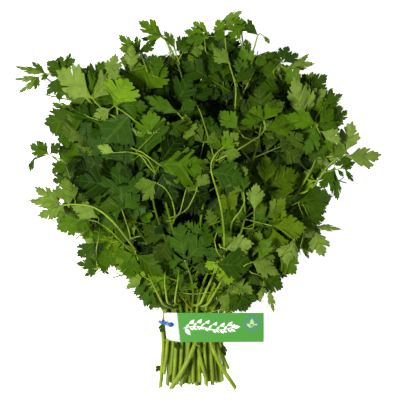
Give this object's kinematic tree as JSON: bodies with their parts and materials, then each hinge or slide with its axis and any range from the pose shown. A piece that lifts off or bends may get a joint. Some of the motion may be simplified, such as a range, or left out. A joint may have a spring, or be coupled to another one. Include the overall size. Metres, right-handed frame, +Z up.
{
  "type": "flat-leaf parsley bunch",
  "caption": "Cut flat-leaf parsley stems gathered by a tie band with a plain card label, lying down with the leafy heads fanned out into a dome.",
  "frame": {"origin": "middle of the bunch's box, on the surface it lies on", "axes": "+Y from the cut ends to the leaf tips, +X across the bunch towards the label's free end, +Z up off the surface"},
  "size_m": [0.311, 0.3288, 0.1178],
  "materials": {
    "leaf": "satin",
    "stem": "satin",
    "tie": "satin",
    "card": "satin"
  },
  "bodies": {
    "root": {"leafy_stem_01": "leaf", "leafy_stem_02": "leaf", "leafy_stem_03": "leaf", "leafy_stem_04": "leaf", "leafy_stem_05": "leaf", "leafy_stem_06": "leaf", "leafy_stem_07": "leaf", "leafy_stem_08": "leaf", "leafy_stem_09": "leaf", "leafy_stem_10": "leaf", "leafy_stem_11": "leaf", "leafy_stem_12": "leaf", "leafy_stem_13": "leaf", "leafy_stem_14": "leaf", "leafy_stem_15": "leaf", "leafy_stem_16": "leaf", "leafy_stem_17": "leaf", "leafy_stem_18": "leaf", "leafy_stem_19": "leaf", "leafy_stem_20": "leaf", "leafy_stem_21": "leaf", "leafy_stem_22": "leaf", "leafy_stem_23": "leaf", "leafy_stem_24": "leaf", "leafy_stem_25": "leaf", "leafy_stem_26": "leaf", "leafy_stem_27": "leaf", "leafy_stem_28": "leaf", "leafy_stem_29": "leaf", "leafy_stem_30": "leaf", "leafy_stem_31": "leaf", "leafy_stem_32": "leaf", "leafy_stem_33": "leaf", "leafy_stem_34": "leaf", "leafy_stem_35": "leaf", "leafy_stem_36": "leaf", "leafy_stem_37": "leaf", "leafy_stem_38": "leaf", "leafy_stem_39": "leaf", "leafy_stem_40": "leaf", "leafy_stem_41": "leaf", "leafy_stem_42": "leaf", "leafy_stem_43": "leaf", "tie_band": "tie", "card_label": "card"}
  },
  "joints": []
}
